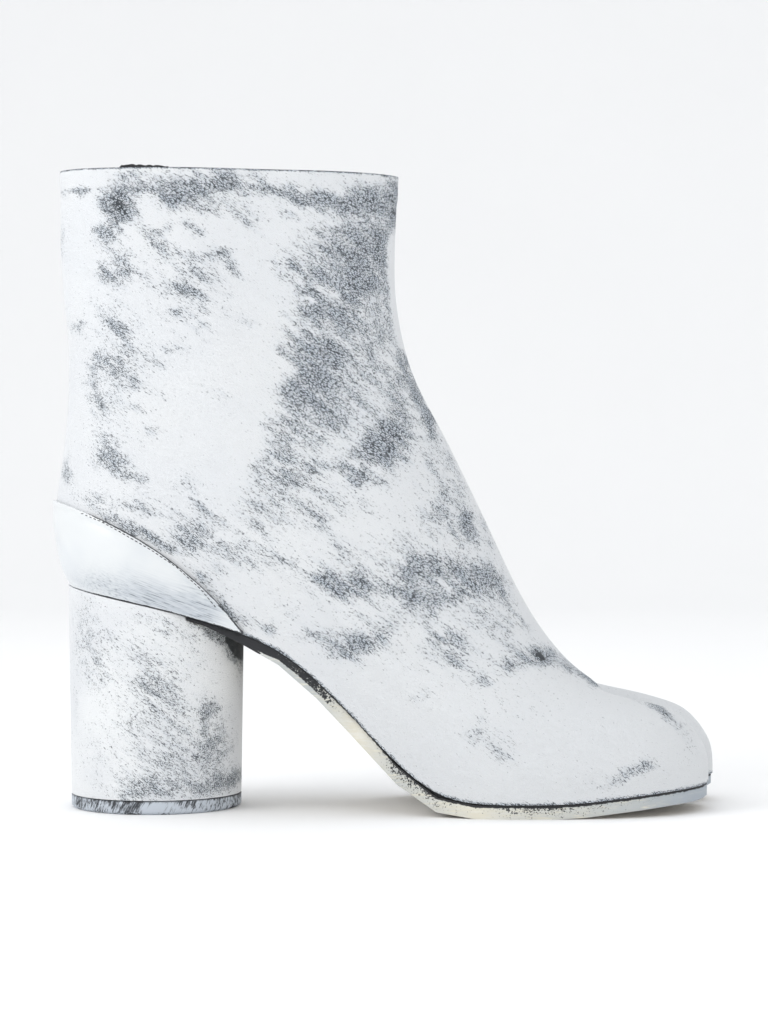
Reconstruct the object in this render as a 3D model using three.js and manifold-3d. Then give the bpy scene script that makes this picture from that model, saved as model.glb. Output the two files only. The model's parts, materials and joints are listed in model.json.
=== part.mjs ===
// A split-toe ankle boot on a round block heel, for the right foot, as separate pieces.
// Millimetres. +X runs towards the toes, +Y towards the inner side of the foot, +Z up.
// The origin is on the floor, at the centre of the heel.
import * as THREE from "three";
import { mergeVertices } from "three/addons/utils/BufferGeometryUtils.js";
import Module from "manifold-3d";

const wasm = await Module();
wasm.setup();

// Driving dimensions
const heelHeight = 80; // floor to the seat, at its back edge
const heelTopRadius = 31.7;
const heelFloorRadius = 30.6;
const topPieceHeight = 4.7;
const topPieceChamfer = 0.9;
const toeReach = 203.9; // heel axis to the tip of the big toe
const shaftFront = 86.2; // heel axis to the front of the shaft
const collarHeight = 228.4; // floor to the collar, above the heel axis
const collarFall = 1.3; // how much lower the collar is at its front
const collarWidth = 39;
const ballWidth = 84; // across the feather line, where the upper meets the sole
const ballPlace = 128; // heel axis to the widest part of the ball
const ballShift = 2; // how far the ball lies to the outer side
const waistWidth = 54;
const waistPlace = 66;
const waistShift = 2;
const toeSpring = 4.6;
const soleThickness = 4.6; // square to its own line
const soleInset = 0.8; // how far the edge of the sole stays inside the upper
const soleTailPlace = 13; // where the sole's skived end lies under the seat
const soleTailThickness = 1;
const soleFullPlace = 46; // where the sole has its full thickness
const soleTipThickness = 2.8;
const soleTipLength = 12; // how far behind the big toe's tip the sole begins to thin
const insoleThickness = 2.4;
const insoleClearance = 0.7; // between the insole's edge and the wall of the upper
const wallThickness = 1.8; // leather and lining of the upper
const counterThickness = 1.2;
const counterHeight = 29.5; // seat to the counter's top edge, at the back
const counterLength = 33; // heel axis to the counter's front points
const flapThickness = 1.1;
const flapBack = -17; // the closure's free edge, on the inner side
const flapWidth = 25;
const flapHeight = 96; // down from the collar
const underlapThickness = 1.2;
const underlapBack = -17;
const underlapWidth = 22;
const underlapStand = 5.4; // how far it shows above the collar
const underlapHeight = 100; // down from the collar
const cleftDepthAtSole = 36; // from the tip of the big toe back into the split
const cleftDepthOnTop = 44;
const cleftHalfGap = 0.9;
const cleftMouthRadius = 9; // rounds each toe into the split, seen from above
const cleftTopRadius = 8; // rounds each toe into the split, seen from the front
const cleftFade = 14; // length of the groove that runs on behind the split
const smallToesBack = 4.5; // how much shorter the small toes are than the big toe
const fitGap = 0.3; // between pieces that meet

// How fine the faceted solids are
const sideColumns = 26; // from the back seam to a toe's corner, along one side
const mouthColumns = 4; // round a toe's corner into the split
const cleftColumns = 8; // from a toe's corner to the bottom of the split
const upperRows = 28;
const heelSides = 64;
const counterColumns = 14; // from the back seam to a front point
const counterRows = 8;
const flapColumns = 6;
const flapRows = 14;

// The line that the feather edge follows over the sole, seen from the side.
// along: share of toeReach. seat: share of the seat's height. spring: share of toeSpring.
const soleLine = [
  { along: -0.2, seat: 1.035, spring: 0 },
  { along: -0.1545, seat: 1.0, spring: 0 },
  { along: 0.035, seat: 0.883, spring: 0 },
  { along: 0.15, seat: 0.789, spring: 0 },
  { along: 0.233, seat: 0.689, spring: 0 },
  { along: 0.3155, seat: 0.49, spring: 0 },
  { along: 0.4115, seat: 0.21, spring: 0 },
  { along: 0.4525, seat: 0.104, spring: 0 },
  { along: 0.5, seat: 0.024, spring: 0 },
  { along: 0.545, seat: 0.0, spring: 0 },
  { along: 0.7, seat: 0.0, spring: 0 },
  { along: 0.8, seat: 0.0, spring: 0.4 },
  { along: 0.91, seat: 0.0, spring: 0.84 },
  { along: 1.05, seat: 0.0, spring: 1.15 },
];

// Sections of the upper, each one a closed line round the foot.
// rise: share of the way from the feather edge up to the collar.
// back: share of the seat's radius. front: share of the way from the shaft's front to the toe's tip.
// seam: how far to the inner side the front seam lies, share of ballWidth.
// leg: how far the widths are the shaft's (1) and not the foot's (0).
// seat, waist, ball: shares of those widths of the foot, or of collarWidth on the leg.
// roundOut, roundIn: lengths of the front curve on the outer and inner side, shares of toeReach.
// split: how far the toes are parted.
const sections = [
  { rise: 0.0, back: 1.0, front: 0.999, seam: 0.085, leg: 0, seat: 1.0, waist: 1.0, ball: 0.985,
    roundOut: 0.26, roundIn: 0.115, split: 1 },
  { rise: 0.014, back: 1.035, front: 1.004, seam: 0.085, leg: 0, seat: 1.025, waist: 1.02, ball: 1.005,
    roundOut: 0.258, roundIn: 0.113, split: 1 },
  { rise: 0.045, back: 1.105, front: 0.999, seam: 0.085, leg: 0, seat: 1.065, waist: 1.07, ball: 1.008,
    roundOut: 0.252, roundIn: 0.113, split: 1 },
  { rise: 0.09, back: 1.155, front: 0.952, seam: 0.085, leg: 0, seat: 1.09, waist: 1.11, ball: 0.985,
    roundOut: 0.25, roundIn: 0.12, split: 1 },
  { rise: 0.115, back: 1.176, front: 0.91, seam: 0.085, leg: 0, seat: 1.089, waist: 1.122, ball: 0.96,
    roundOut: 0.25, roundIn: 0.13, split: 1 },
  { rise: 0.132, back: 1.188, front: 0.832, seam: 0.085, leg: 0, seat: 1.085, waist: 1.13, ball: 0.938,
    roundOut: 0.25, roundIn: 0.14, split: 1 },
  { rise: 0.175, back: 1.2, front: 0.628, seam: 0.08, leg: 0, seat: 1.045, waist: 1.165, ball: 0.86,
    roundOut: 0.24, roundIn: 0.18, split: 0.6 },
  { rise: 0.2277, back: 1.18, front: 0.507, seam: 0.058, leg: 0.1, seat: 1.03, waist: 1.18, ball: 0.83,
    roundOut: 0.23, roundIn: 0.2, split: 0.0 },
  { rise: 0.311, back: 1.12, front: 0.398, seam: 0.036, leg: 0.45, seat: 1.1, waist: 1.27, ball: 0.93,
    roundOut: 0.22, roundIn: 0.21, split: 0 },
  { rise: 0.4417, back: 1.06, front: 0.28, seam: 0.016, leg: 1, seat: 1.32, waist: 1.53, ball: 1.38,
    roundOut: 0.22, roundIn: 0.22, split: 0 },
  { rise: 0.569, back: 1.055, front: 0.162, seam: 0.006, leg: 1, seat: 1.2, waist: 1.43, ball: 1.22,
    roundOut: 0.21, roundIn: 0.21, split: 0 },
  { rise: 0.69, back: 1.115, front: 0.039, seam: 0.0, leg: 1, seat: 1.08, waist: 1.31, ball: 1.1,
    roundOut: 0.2, roundIn: 0.2, split: 0 },
  { rise: 0.82, back: 1.155, front: 0.0, seam: 0.0, leg: 1, seat: 0.97, waist: 1.15, ball: 0.99,
    roundOut: 0.19, roundIn: 0.19, split: 0 },
  { rise: 1.0, back: 1.16, front: 0.012, seam: 0.0, leg: 1, seat: 0.87, waist: 1.0, ball: 0.85,
    roundOut: 0.19, roundIn: 0.19, split: 0 },
];

// What the tables leave to a formula
const toeFullness = 2.3; // exponent of the toe's curve, 2 is an ellipse
const legFullness = 1.9;
const toeSideShare = 0.94; // width beside the toes, share of the ball's
const plainCornerShare = 0.8; // where a side's columns end on a section with no split
const splitTopRise = 0.17; // rise at which the split ends on top of the toes
const splitEase = 3; // softens the end of the split

const seatRadius = heelTopRadius - counterThickness - fitGap;
const featherAtBall = soleThickness + fitGap;
const pastToe = toeReach + cleftMouthRadius;

const mix = (a, b, share) => a + (b - a) * share;
const clamp01 = (value) => Math.min(1, Math.max(0, value));

function smoothStep(low, high, value) {
  const share = clamp01((value - low) / (high - low));
  return share * share * (3 - 2 * share);
}

// A smooth line through one column of a table, with no swing past its values.
function tableValue(table, key, column, at) {
  const last = table.length - 1;
  if (at <= table[0][key]) return table[0][column];
  if (at >= table[last][key]) return table[last][column];
  let i = 0;
  while (table[i + 1][key] < at) i += 1;
  const rate = (k) => (table[k + 1][column] - table[k][column]) / (table[k + 1][key] - table[k][key]);
  const slope = (k) => {
    if (k === 0) return rate(0);
    if (k === last) return rate(last - 1);
    const [before, after] = [rate(k - 1), rate(k)];
    return before * after <= 0 ? 0 : (2 * before * after) / (before + after);
  };
  const span = table[i + 1][key] - table[i][key];
  const t = (at - table[i][key]) / span;
  const t2 = t * t;
  const t3 = t2 * t;
  return (2 * t3 - 3 * t2 + 1) * table[i][column] + (t3 - 2 * t2 + t) * span * slope(i)
    + (3 * t2 - 2 * t3) * table[i + 1][column] + (t3 - t2) * span * slope(i + 1);
}

// Height of the feather edge, and so of the top of the sole and heel less a gap.
function featherZ(x) {
  const along = x / toeReach;
  const seat = tableValue(soleLine, "along", "seat", along);
  const spring = tableValue(soleLine, "along", "spring", along);
  return featherAtBall + seat * (heelHeight - featherAtBall) + spring * toeSpring;
}

const collarZ = (x) => collarHeight - collarFall * (x / shaftFront);

const upperZ = (x, rise) => mix(featherZ(x), collarZ(x), rise);

// All that one section needs, in millimetres. side is -1 on the outer side and 1 on the inner.
const sectionStore = new Map();
function sectionAt(rise) {
  if (!sectionStore.has(rise)) sectionStore.set(rise, workOutSection(rise));
  return sectionStore.get(rise);
}

function workOutSection(rise) {
  const share = (column) => tableValue(sections, "rise", column, rise);
  const backX = -share("back") * seatRadius;
  const frontX = mix(shaftFront, toeReach, share("front"));
  const seamY = share("seam") * ballWidth;
  const split = clamp01(share("split"));
  const leg = clamp01(share("leg"));
  const cleftDepth = mix(cleftDepthAtSole, cleftDepthOnTop, smoothStep(0, splitTopRise, rise));
  const open = frontX - (toeReach - cleftDepth);
  const seamX = frontX - split * 0.5 * (open + Math.hypot(open, splitEase));
  const sides = {};
  for (const side of [-1, 1]) {
    const half = (column, footWidth, shift) =>
      0.5 * share(column) * mix(footWidth, collarWidth, leg) - side * shift * (1 - leg);
    const ball = half("ball", ballWidth, ballShift);
    sides[side] = {
      tipX: frontX - (side < 0 ? smallToesBack * split : 0),
      tipY: seamY + side * split * (cleftHalfGap + cleftMouthRadius),
      roundLength: share(side < 0 ? "roundOut" : "roundIn") * toeReach,
      halfWidths: [
        { along: 0, half: half("seat", 2 * seatRadius, 0) },
        { along: seatStation, half: half("seat", 2 * seatRadius, 0) },
        { along: waistStation, half: half("waist", waistWidth, waistShift) },
        { along: ballStation, half: ball },
        { along: 1, half: ball * mix(toeSideShare, 1, leg) },
      ],
    };
  }
  return { backX, frontX, seamX, seamY, split, leg, sides };
}

// Where the widths of the foot are given, as shares of a section's own length
const footBack = -seatRadius;
const footLength = mix(shaftFront, toeReach, sections[0].front) - footBack;
const seatStation = -footBack / footLength;
const waistStation = (waistPlace - footBack) / footLength;
const ballStation = (ballPlace - footBack) / footLength;

// Superellipse that rises from 0 to 1 over a length of 1.
const roundOff = (at, power) => (1 - (1 - clamp01(at)) ** power) ** (1 / power);

// How far to the side the upper lies at x, on one side of one section.
function sideY(section, side, x) {
  const { tipX, tipY, roundLength, halfWidths } = section.sides[side];
  const along = (x - section.backX) / (tipX - section.backX);
  const half = tableValue(halfWidths, "along", "half", along);
  const atBack = roundOff((x - section.backX) / -section.backX, 2);
  const atFront = roundOff((tipX - x) / roundLength, mix(toeFullness, legFullness, section.leg));
  return mix(tipY, side * half * atBack, atFront);
}

// Each toe rolls down into the split, and the groove fades out behind it.
function rollDown(x, y, rise, seamY) {
  const cleftEnd = toeReach - cleftDepthOnTop;
  const zone = smoothStep(cleftEnd - cleftFade, cleftEnd + cleftTopRadius, x);
  const away = clamp01((Math.abs(y - seamY) - cleftHalfGap) / cleftTopRadius);
  const drop = 1 - Math.sqrt(1 - (1 - away) ** 2);
  return cleftTopRadius * drop * zone * clamp01(rise / splitTopRise);
}

function upperPoint(side, x, rise) {
  const section = sectionAt(Math.min(rise, 1));
  const y = sideY(section, side, x);
  return new THREE.Vector3(x, y, upperZ(x, rise) - rollDown(x, y, rise, section.seamY));
}

// Columns of both sides lie at the same places, but for those near the shorter toes.
function columnX(section, side, share) {
  const shorter = section.frontX - section.sides[side].tipX;
  return mix(section.backX, section.frontX, share) - shorter * share ** 3;
}

// One side of a section, from the back seam to the front seam at the bottom of the split.
function sectionSide(side, rise) {
  const section = sectionAt(rise);
  const { tipX } = section.sides[side];
  const shareOfColumn = (k) => 0.5 * (1 - Math.cos((Math.PI * k) / sideColumns));
  const corner = mix(plainCornerShare, 1, section.split);
  const points = [];
  for (let k = 0; k <= sideColumns; k += 1) {
    const plain = 0.5 * (1 - Math.cos((Math.PI * k * plainCornerShare) / sideColumns));
    const x = columnX(section, side, mix(plain, shareOfColumn(k), section.split));
    points.push([x, sideY(section, side, x)]);
  }
  const depth = tipX - section.seamX;
  const mouth = Math.min(cleftMouthRadius, depth);
  const gap = cleftHalfGap * section.split;
  for (let k = 1; k <= cleftColumns; k += 1) {
    const share = k / cleftColumns;
    const plain = 0.5 * (1 - Math.cos(Math.PI * mix(plainCornerShare, 1, share)));
    const x = columnX(section, side, mix(plain, 1, section.split));
    const y = sideY(section, side, x);
    const turn = (Math.PI / 2) * clamp01(k / mouthColumns);
    const inward = clamp01((k - mouthColumns) / (cleftColumns - 1 - mouthColumns));
    const end = k === cleftColumns ? gap : 0;
    const into = mouth * (1 - Math.cos(turn)) + (depth - mouth - gap) * inward + end;
    const across = section.split * cleftMouthRadius * Math.sin(turn) + end;
    points.push([x - into, y - side * across]);
  }
  return points.map(([x, y]) =>
    new THREE.Vector3(x, y, upperZ(x, rise) - rollDown(x, y, rise, section.seamY)));
}

// A whole section: out along the outer side to the front seam and back along the inner side.
function sectionLoop(rise) {
  const outer = sectionSide(-1, rise);
  const inner = sectionSide(1, rise).reverse();
  return [...outer, ...inner.slice(1, -1)];
}

// Rows that lie closer where the front of the upper runs flat over the toes.
function rowRises() {
  const samples = 200;
  const toeRows = { from: 0.04, to: 0.22, density: 2 };
  const lengths = [0];
  for (let i = 1; i <= samples; i += 1) {
    const [low, high] = [(i - 1) / samples, i / samples].map((rise) => {
      const x = sectionAt(rise).frontX;
      return new THREE.Vector2(x, upperZ(x, rise));
    });
    const onToes = i / samples > toeRows.from && i / samples < toeRows.to;
    lengths.push(lengths[i - 1] + low.distanceTo(high) * (onToes ? toeRows.density : 1));
  }
  const frontShare = 0.8;
  const measure = lengths.map((length, i) => mix(i / samples, length / lengths[samples], frontShare));
  const rises = [];
  for (let row = 0; row <= upperRows; row += 1) {
    const target = row / upperRows;
    let i = 1;
    while (i < samples && measure[i] < target) i += 1;
    const within = (target - measure[i - 1]) / (measure[i] - measure[i - 1]);
    rises.push((i - 1 + clamp01(within)) / samples);
  }
  return rises;
}

// Directions square to a grid of points, which faces out where rows rise and columns run
// round from the back over the outer side.
function gridNormals(grid, closed) {
  const columns = grid[0].length;
  const at = (row, k) => {
    const column = closed ? (k + columns) % columns : Math.min(columns - 1, Math.max(0, k));
    return grid[Math.min(grid.length - 1, Math.max(0, row))][column];
  };
  return grid.map((points, row) => points.map((point, k) => {
    const round = at(row, k + 1).clone().sub(at(row, k - 1));
    const up = at(row + 1, k).clone().sub(at(row - 1, k));
    return round.cross(up).normalize();
  }));
}

// A wall over a grid, from one distance off the grid to another. A seated wall's first row
// ends on the feather edge.
function wallOverGrid(grid, { closed = false, seated = false, near, far }) {
  const normals = gridNormals(grid, closed);
  const rows = grid.length;
  const columns = grid[0].length;
  const vertices = [];
  for (const distance of [far, near]) {
    for (let row = 0; row < rows; row += 1) {
      for (let k = 0; k < columns; k += 1) {
        const normal = normals[row][k];
        if (row === 0 || row === rows - 1) normal.setZ(0).normalize();
        const vertex = grid[row][k].clone().addScaledVector(normal, distance);
        if (seated && row === 0) vertex.z = seatZ(vertex.x);
        vertices.push(vertex);
      }
    }
  }
  const outside = (row, k) => row * columns + (k % columns);
  const inside = (row, k) => rows * columns + outside(row, k);
  const faces = [];
  const quad = (a, b, c, d) => faces.push([a, b, c], [a, c, d]);
  const steps = closed ? columns : columns - 1;
  for (let k = 0; k < steps; k += 1) {
    for (let row = 0; row < rows - 1; row += 1) {
      quad(outside(row, k), outside(row, k + 1), outside(row + 1, k + 1), outside(row + 1, k));
      quad(inside(row, k), inside(row + 1, k), inside(row + 1, k + 1), inside(row, k + 1));
    }
    quad(outside(0, k), inside(0, k), inside(0, k + 1), outside(0, k + 1));
    const top = rows - 1;
    quad(outside(top, k), outside(top, k + 1), inside(top, k + 1), inside(top, k));
  }
  if (!closed) {
    const end = columns - 1;
    for (let row = 0; row < rows - 1; row += 1) {
      quad(outside(row, 0), outside(row + 1, 0), inside(row + 1, 0), inside(row, 0));
      quad(outside(row, end), inside(row, end), inside(row + 1, end), outside(row + 1, end));
    }
  }
  return geometryOf(vertices, faces);
}

function geometryOf(vertices, faces) {
  const geometry = new THREE.BufferGeometry();
  const positions = vertices.flatMap((vertex) => vertex.toArray());
  geometry.setAttribute("position", new THREE.Float32BufferAttribute(positions, 3));
  geometry.setIndex(faces.flat());
  return geometry;
}

function toManifold(geometry) {
  const bare = geometry.clone();
  bare.deleteAttribute("normal");
  bare.deleteAttribute("uv");
  const merged = mergeVertices(bare, 1e-4);
  return new wasm.Manifold(new wasm.Mesh({
    numProp: 3,
    vertProperties: new Float32Array(merged.attributes.position.array),
    triVerts: new Uint32Array(merged.index.array),
  }));
}

function fromManifold(manifold) {
  const { vertProperties, triVerts } = manifold.getMesh();
  const geometry = new THREE.BufferGeometry();
  geometry.setAttribute("position", new THREE.BufferAttribute(vertProperties, 3));
  geometry.setIndex(new THREE.BufferAttribute(triVerts, 1));
  return geometry;
}

// A block with the given outline seen from above.
function standingBlock(outline) {
  const shape = new THREE.Shape(outline);
  const tall = 2 * collarHeight;
  const block = new THREE.ExtrudeGeometry(shape, { depth: tall, bevelEnabled: false });
  return toManifold(block.translate(0, 0, -tall / 2));
}

// A block with the given outline seen from the side, x and z, as wide as need be.
function sideBlock(outline) {
  const shape = new THREE.Shape(outline);
  const wide = 3 * ballWidth;
  const block = new THREE.ExtrudeGeometry(shape, { depth: wide, bevelEnabled: false });
  return toManifold(block.rotateX(Math.PI / 2).translate(0, wide / 2, 0));
}

// Sole, heel, insole and upper meet on one line, which has its corners at these stations.
const stationPlaces = [-1, 1]
  .flatMap((side) => sectionSide(side, 0).slice(0, sideColumns + 1))
  .map((point) => point.x)
  .concat(pastToe)
  .sort((low, high) => low - high)
  .filter((x, i, all) => i === 0 || x - all[i - 1] > fitGap);

function seatZ(x) {
  const last = stationPlaces.length - 1;
  let i = 0;
  while (i < last - 1 && stationPlaces[i + 1] < x) i += 1;
  const [low, high] = [stationPlaces[i], stationPlaces[i + 1]];
  return mix(featherZ(low), featherZ(high), (x - low) / (high - low));
}

// The band between two lines seen from the side, from one x to another.
function bandBlock(fromX, toX, topZ, bottomZ) {
  const between = stationPlaces.filter((x) => x > fromX && x < toX);
  const stations = [fromX, ...between, toX];
  const top = stations.map((x) => new THREE.Vector2(x, topZ(x)));
  const bottom = stations.map((x) => new THREE.Vector2(x, bottomZ(x))).reverse();
  return sideBlock([...bottom, ...top]);
}

// The outline of the feather edge seen from above, drawn in by some distance.
function featherOutline(inset) {
  const loop = sectionLoop(0);
  const count = loop.length;
  return loop.map((point, k) => {
    const along = loop[(k + 1) % count].clone().sub(loop[(k + count - 1) % count]);
    const outward = new THREE.Vector2(along.y, -along.x).normalize();
    return new THREE.Vector2(point.x, point.y).addScaledVector(outward, -inset);
  });
}

// The sole is skived under the seat and thins again at its tip.
function soleThicknessAt(x) {
  const behind = mix(soleTailThickness, soleThickness, smoothStep(soleTailPlace, soleFullPlace, x));
  return mix(behind, soleTipThickness, clamp01((x - toeReach) / soleTipLength + 1) ** 2);
}

const soleTopZ = (x) => seatZ(x) - fitGap;

// How much longer the sole is cut upright than square to its line, where the arch is steep.
function soleSteepness(x) {
  const reach = soleThickness / 2;
  return Math.hypot(1, (featherZ(x + reach) - featherZ(x - reach)) / (2 * reach));
}

const soleBottomZ = (x) => soleTopZ(x) - soleThicknessAt(x) * soleSteepness(x);

function makeUpper() {
  const grid = rowRises().map((rise) => sectionLoop(rise));
  return wallOverGrid(grid, { closed: true, seated: true, near: -wallThickness, far: 0 });
}

function makeOutsole() {
  const plan = standingBlock(featherOutline(soleInset));
  const band = bandBlock(soleTailPlace, toeReach + soleInset, soleTopZ, soleBottomZ);
  return fromManifold(plan.intersect(band));
}

function makeInsole() {
  const plan = standingBlock(featherOutline(wallThickness + insoleClearance));
  const band = bandBlock(-heelTopRadius, toeReach, (x) => seatZ(x) + insoleThickness, seatZ);
  return fromManifold(plan.intersect(band));
}

function makeHeelBlock() {
  const bottom = topPieceHeight + fitGap;
  const height = heelHeight - bottom;
  const block = new THREE.CylinderGeometry(heelTopRadius, heelFloorRadius, height, heelSides);
  block.rotateX(Math.PI / 2).translate(0, 0, bottom + height / 2);
  const reach = heelTopRadius + fitGap;
  const step = soleTailPlace - fitGap;
  const behind = bandBlock(-reach, step, soleTopZ, () => 0);
  const ahead = bandBlock(step, reach, (x) => soleBottomZ(x) - fitGap, () => 0);
  return fromManifold(toManifold(block).intersect(behind.add(ahead)));
}

function makeTopPiece() {
  const profile = [
    new THREE.Vector2(0, 0),
    new THREE.Vector2(heelFloorRadius - topPieceChamfer, 0),
    new THREE.Vector2(heelFloorRadius, topPieceChamfer),
    new THREE.Vector2(heelFloorRadius, topPieceHeight),
    new THREE.Vector2(0, topPieceHeight),
  ];
  return new THREE.LatheGeometry(profile, heelSides).rotateX(Math.PI / 2);
}

// The counter wraps the back of the upper and comes to a point on each side.
function makeCounter() {
  const backEdgePower = 1.9;
  const tipPower = 0.88;
  const column = (k) => {
    const side = k < 0 ? 1 : -1;
    const share = Math.sin((Math.PI / 2) * (Math.abs(k) / counterColumns)) ** 2;
    return { side, share };
  };
  const grid = [];
  for (let row = 0; row <= counterRows; row += 1) {
    const points = [];
    for (let k = -counterColumns; k <= counterColumns; k += 1) {
      const { side, share } = column(k);
      const top = counterHeight * (1 - share ** backEdgePower) ** tipPower;
      const x0 = mix(sectionAt(0).backX, counterLength, share);
      const rise = ((row / counterRows) * Math.max(top, counterThickness)) / (collarZ(x0) - featherZ(x0));
      points.push(upperPoint(side, mix(sectionAt(rise).backX, counterLength, share), rise));
    }
    grid.push(points);
  }
  return wallOverGrid(grid, { seated: true, near: fitGap, far: fitGap + counterThickness });
}

// A strip on the inner side of the shaft that ends at the collar or stands above it.
function innerSideGrid(backX, width, height, stand) {
  const grid = [];
  for (let row = 0; row <= flapRows; row += 1) {
    const points = [];
    for (let k = 0; k <= flapColumns; k += 1) {
      const x = backX + width * (1 - k / flapColumns);
      const tall = collarZ(x) - featherZ(x);
      const rise = 1 + mix(-height, stand, row / flapRows) / tall;
      points.push(upperPoint(1, x, rise));
    }
    grid.push(points);
  }
  return grid;
}

function makeClosureFlap() {
  const grid = innerSideGrid(flapBack, flapWidth, flapHeight, 0);
  return wallOverGrid(grid, { near: fitGap, far: fitGap + flapThickness });
}

function makeUnderlap() {
  const grid = innerSideGrid(underlapBack, underlapWidth, underlapHeight, underlapStand);
  const inside = wallThickness + fitGap;
  return wallOverGrid(grid, { near: -inside - underlapThickness, far: -inside });
}

function named(name, geometry, colour, roughness) {
  const material = new THREE.MeshStandardMaterial({ color: colour, roughness, metalness: 0 });
  const mesh = new THREE.Mesh(geometry, material);
  mesh.name = name;
  return mesh;
}

const paintedLeather = 0xdfe3ea;
const boot = new THREE.Group();
boot.add(named("upper", makeUpper(), paintedLeather, 0.55));
boot.add(named("outsole", makeOutsole(), 0xd9d4c2, 0.7));
boot.add(named("insole", makeInsole(), 0x9a7a55, 0.75));
boot.add(named("heel_block", makeHeelBlock(), paintedLeather, 0.5));
boot.add(named("heel_top_piece", makeTopPiece(), 0x4a4e55, 0.7));
boot.add(named("heel_counter", makeCounter(), 0xe9ecf1, 0.35));
boot.add(named("closure_flap", makeClosureFlap(), paintedLeather, 0.55));
boot.add(named("closure_underlap", makeUnderlap(), 0x24262b, 0.8));

export default boot;
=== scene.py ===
import json
import math
import random

import bpy
import numpy as np
from mathutils import Matrix, Vector
from mathutils.bvhtree import BVHTree
from mathutils.kdtree import KDTree

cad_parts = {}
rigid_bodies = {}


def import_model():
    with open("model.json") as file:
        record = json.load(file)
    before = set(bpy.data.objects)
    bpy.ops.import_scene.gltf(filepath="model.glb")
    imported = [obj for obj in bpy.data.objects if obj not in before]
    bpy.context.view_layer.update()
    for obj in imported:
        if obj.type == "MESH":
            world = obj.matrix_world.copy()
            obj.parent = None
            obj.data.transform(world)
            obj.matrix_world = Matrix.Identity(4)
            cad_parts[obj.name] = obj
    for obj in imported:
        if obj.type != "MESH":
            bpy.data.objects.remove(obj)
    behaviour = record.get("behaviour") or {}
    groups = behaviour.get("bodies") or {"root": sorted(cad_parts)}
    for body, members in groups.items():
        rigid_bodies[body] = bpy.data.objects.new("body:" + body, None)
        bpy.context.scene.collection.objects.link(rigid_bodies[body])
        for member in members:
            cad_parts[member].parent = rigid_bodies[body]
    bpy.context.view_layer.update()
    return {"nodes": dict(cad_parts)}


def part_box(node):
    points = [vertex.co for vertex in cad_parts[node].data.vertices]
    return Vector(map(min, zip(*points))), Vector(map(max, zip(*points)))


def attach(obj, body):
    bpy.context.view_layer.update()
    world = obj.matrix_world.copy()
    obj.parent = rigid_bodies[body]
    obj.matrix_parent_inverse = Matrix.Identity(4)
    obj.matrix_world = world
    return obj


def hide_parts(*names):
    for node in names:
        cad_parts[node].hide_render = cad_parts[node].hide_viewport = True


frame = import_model()
mm = 0.001
random.seed(41)
print("frame loaded")


# Small helpers for selecting and for reading points

def pickOnly(piece):
    bpy.ops.object.select_all(action="DESELECT")
    piece.select_set(True)
    bpy.context.view_layer.objects.active = piece


def editFaces(piece, chosen):
    # Leaves the piece in edit mode with only the chosen faces selected.
    pickOnly(piece)
    for group in (piece.data.vertices, piece.data.edges):
        group.foreach_set("select", np.zeros(len(group), dtype=bool))
    piece.data.polygons.foreach_set("select", chosen)
    bpy.context.tool_settings.mesh_select_mode = (False, False, True)
    bpy.ops.object.mode_set(mode="EDIT")


def leaveEdit():
    bpy.ops.object.mode_set(mode="OBJECT")


def readAll(items, key, kind=float, width=1):
    # One value for every point or face of a mesh, or one row of several.
    values = np.zeros(len(items) * width, dtype=kind)
    items.foreach_get(key, values)
    return values if width == 1 else values.reshape(-1, width)


def pointsOf(piece):
    # Every vertex in millimetres.
    return readAll(piece.data.vertices, "co", width=3) / mm


def movePoints(piece, points):
    piece.data.vertices.foreach_set("co", (points * mm).ravel())
    piece.data.update()


def normalsOf(piece):
    return readAll(piece.data.vertex_normals, "vector", width=3)


def faceTable(piece):
    # Centre (mm) and normal of every face.
    faces = piece.data.polygons
    return readAll(faces, "center", width=3) / mm, readAll(faces, "normal", width=3)


def storeOnPoints(piece, name, values):
    layer = piece.data.attributes.new(name, "FLOAT", "POINT")
    layer.data.foreach_set("value", np.asarray(values, dtype=np.float32))


def facePoints(piece, chosen):
    # The points that belong to the chosen faces.
    sides = readAll(piece.data.polygons, "loop_total", np.int32)
    corners = readAll(piece.data.loops, "vertex_index", np.int32)
    found = np.zeros(len(piece.data.vertices), dtype=bool)
    found[corners[np.repeat(chosen, sides)]] = True
    return found


def distanceTo(edge, points):
    # How far each point lies from the nearest point of an edge, in mm.
    near = KDTree(len(edge))
    for index, point in enumerate(edge):
        near.insert(point, index)
    near.balance()
    return np.array([near.find(point)[2] for point in points])


copying = {
    "merge": 0.004,     # mm between points that become one
    "joinUnder": 70,    # degrees between triangles that become a quad
}


def copyOfNode(node, name):
    # A merged copy of a CAD node's mesh, in quads where it can be.
    piece = bpy.data.objects.new(name, frame["nodes"][node].data.copy())
    bpy.context.scene.collection.objects.link(piece)
    piece.data.materials.clear()
    pickOnly(piece)
    if piece.data.has_custom_normals:
        bpy.ops.mesh.customdata_custom_splitnormals_clear()
    bpy.ops.object.mode_set(mode="EDIT")
    bpy.ops.mesh.select_all(action="SELECT")
    bpy.ops.mesh.remove_doubles(threshold=copying["merge"] * mm)
    bpy.ops.mesh.tris_convert_to_quads(face_threshold=math.radians(copying["joinUnder"]),
                                       shape_threshold=math.radians(copying["joinUnder"]))
    leaveEdit()
    return piece


def applyModifier(piece, kind, **settings):
    pickOnly(piece)
    modifier = piece.modifiers.new(kind.lower(), kind)
    for key, value in settings.items():
        setattr(modifier, key, value)
    bpy.ops.object.modifier_apply(modifier=modifier.name)


def bevelEdges(piece, look):
    # Rounds each edge whose two faces meet at more than an angle in degrees.
    applyModifier(piece, "BEVEL", width=look["bevel"] * mm, segments=2, limit_method="ANGLE",
                  angle_limit=math.radians(look["bevelOver"]))


def subdivide(piece, levels, **settings):
    applyModifier(piece, "SUBSURF", levels=levels, render_levels=levels, **settings)


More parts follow.
